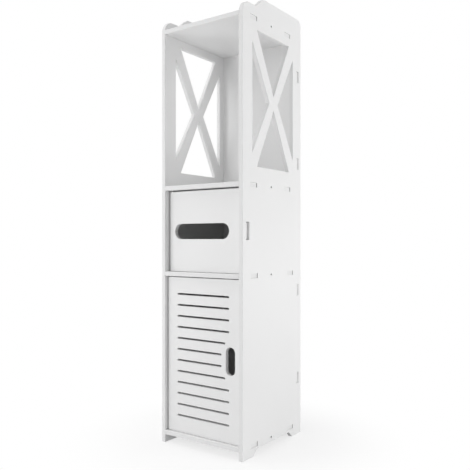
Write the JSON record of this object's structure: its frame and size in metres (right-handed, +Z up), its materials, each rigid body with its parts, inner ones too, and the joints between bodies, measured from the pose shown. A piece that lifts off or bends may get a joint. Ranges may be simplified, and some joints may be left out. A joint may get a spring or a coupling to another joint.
{
  "type": "bathroom cabinet",
  "caption": "Tall narrow bathroom floor cabinet of white boards: open cubby with X cut-out sides, hinged tissue door with an oblong slot, and a hinged slotted door below.",
  "frame": {"origin": "middle of the footprint, on the floor", "axes": "+Z up, +X to the right seen from the front, the doors face -Y"},
  "size_m": [0.228, 0.248, 1],
  "materials": {
    "white_board": "satin",
    "moulded_plastic": "satin",
    "bush_plastic": "satin",
    "steel": "brushed",
    "magnet": "smooth",
    "dark_screw": "dark zinc"
  },
  "bodies": {
    "carcass": {"left_side_panel": "white_board", "right_side_panel": "white_board", "top_shelf": "white_board", "middle_shelf": "white_board", "lower_shelf": "white_board", "bottom_shelf": "white_board", "upper_back_panel": "white_board", "lower_back_panel": "white_board", "slotted_door_upper_bush": "bush_plastic", "slotted_door_lower_bush": "bush_plastic", "slotted_door_magnet": "magnet", "tissue_door_upper_bush": "bush_plastic", "tissue_door_lower_bush": "bush_plastic", "tissue_door_magnet": "magnet", "tissue_door_stop": "moulded_plastic", "slotted_door_catch": "moulded_plastic", "catch_screws": "dark_screw", "left_side_screws": "dark_screw", "right_side_screws": "dark_screw"},
    "slotted_leaf": {"slotted_door": "white_board", "slotted_door_upper_pin": "steel", "slotted_door_lower_pin": "steel", "slotted_door_strike": "steel"},
    "tissue_leaf": {"tissue_door": "white_board", "tissue_door_upper_pin": "steel", "tissue_door_lower_pin": "steel", "tissue_door_strike": "steel"}
  },
  "joints": [
    {"name": "slotted_door_hinge", "type": "hinge", "parent": "carcass", "child": "slotted_leaf", "pos_m": [-0.0965, -0.111, 0.2059], "axis": [0, 0, -1], "range_deg": [0, 95]},
    {"name": "tissue_door_hinge", "type": "hinge", "parent": "carcass", "child": "tissue_leaf", "pos_m": [-0.096, -0.107, 0.4873], "axis": [0, 0, -1], "range_deg": [0, 95]}
  ]
}
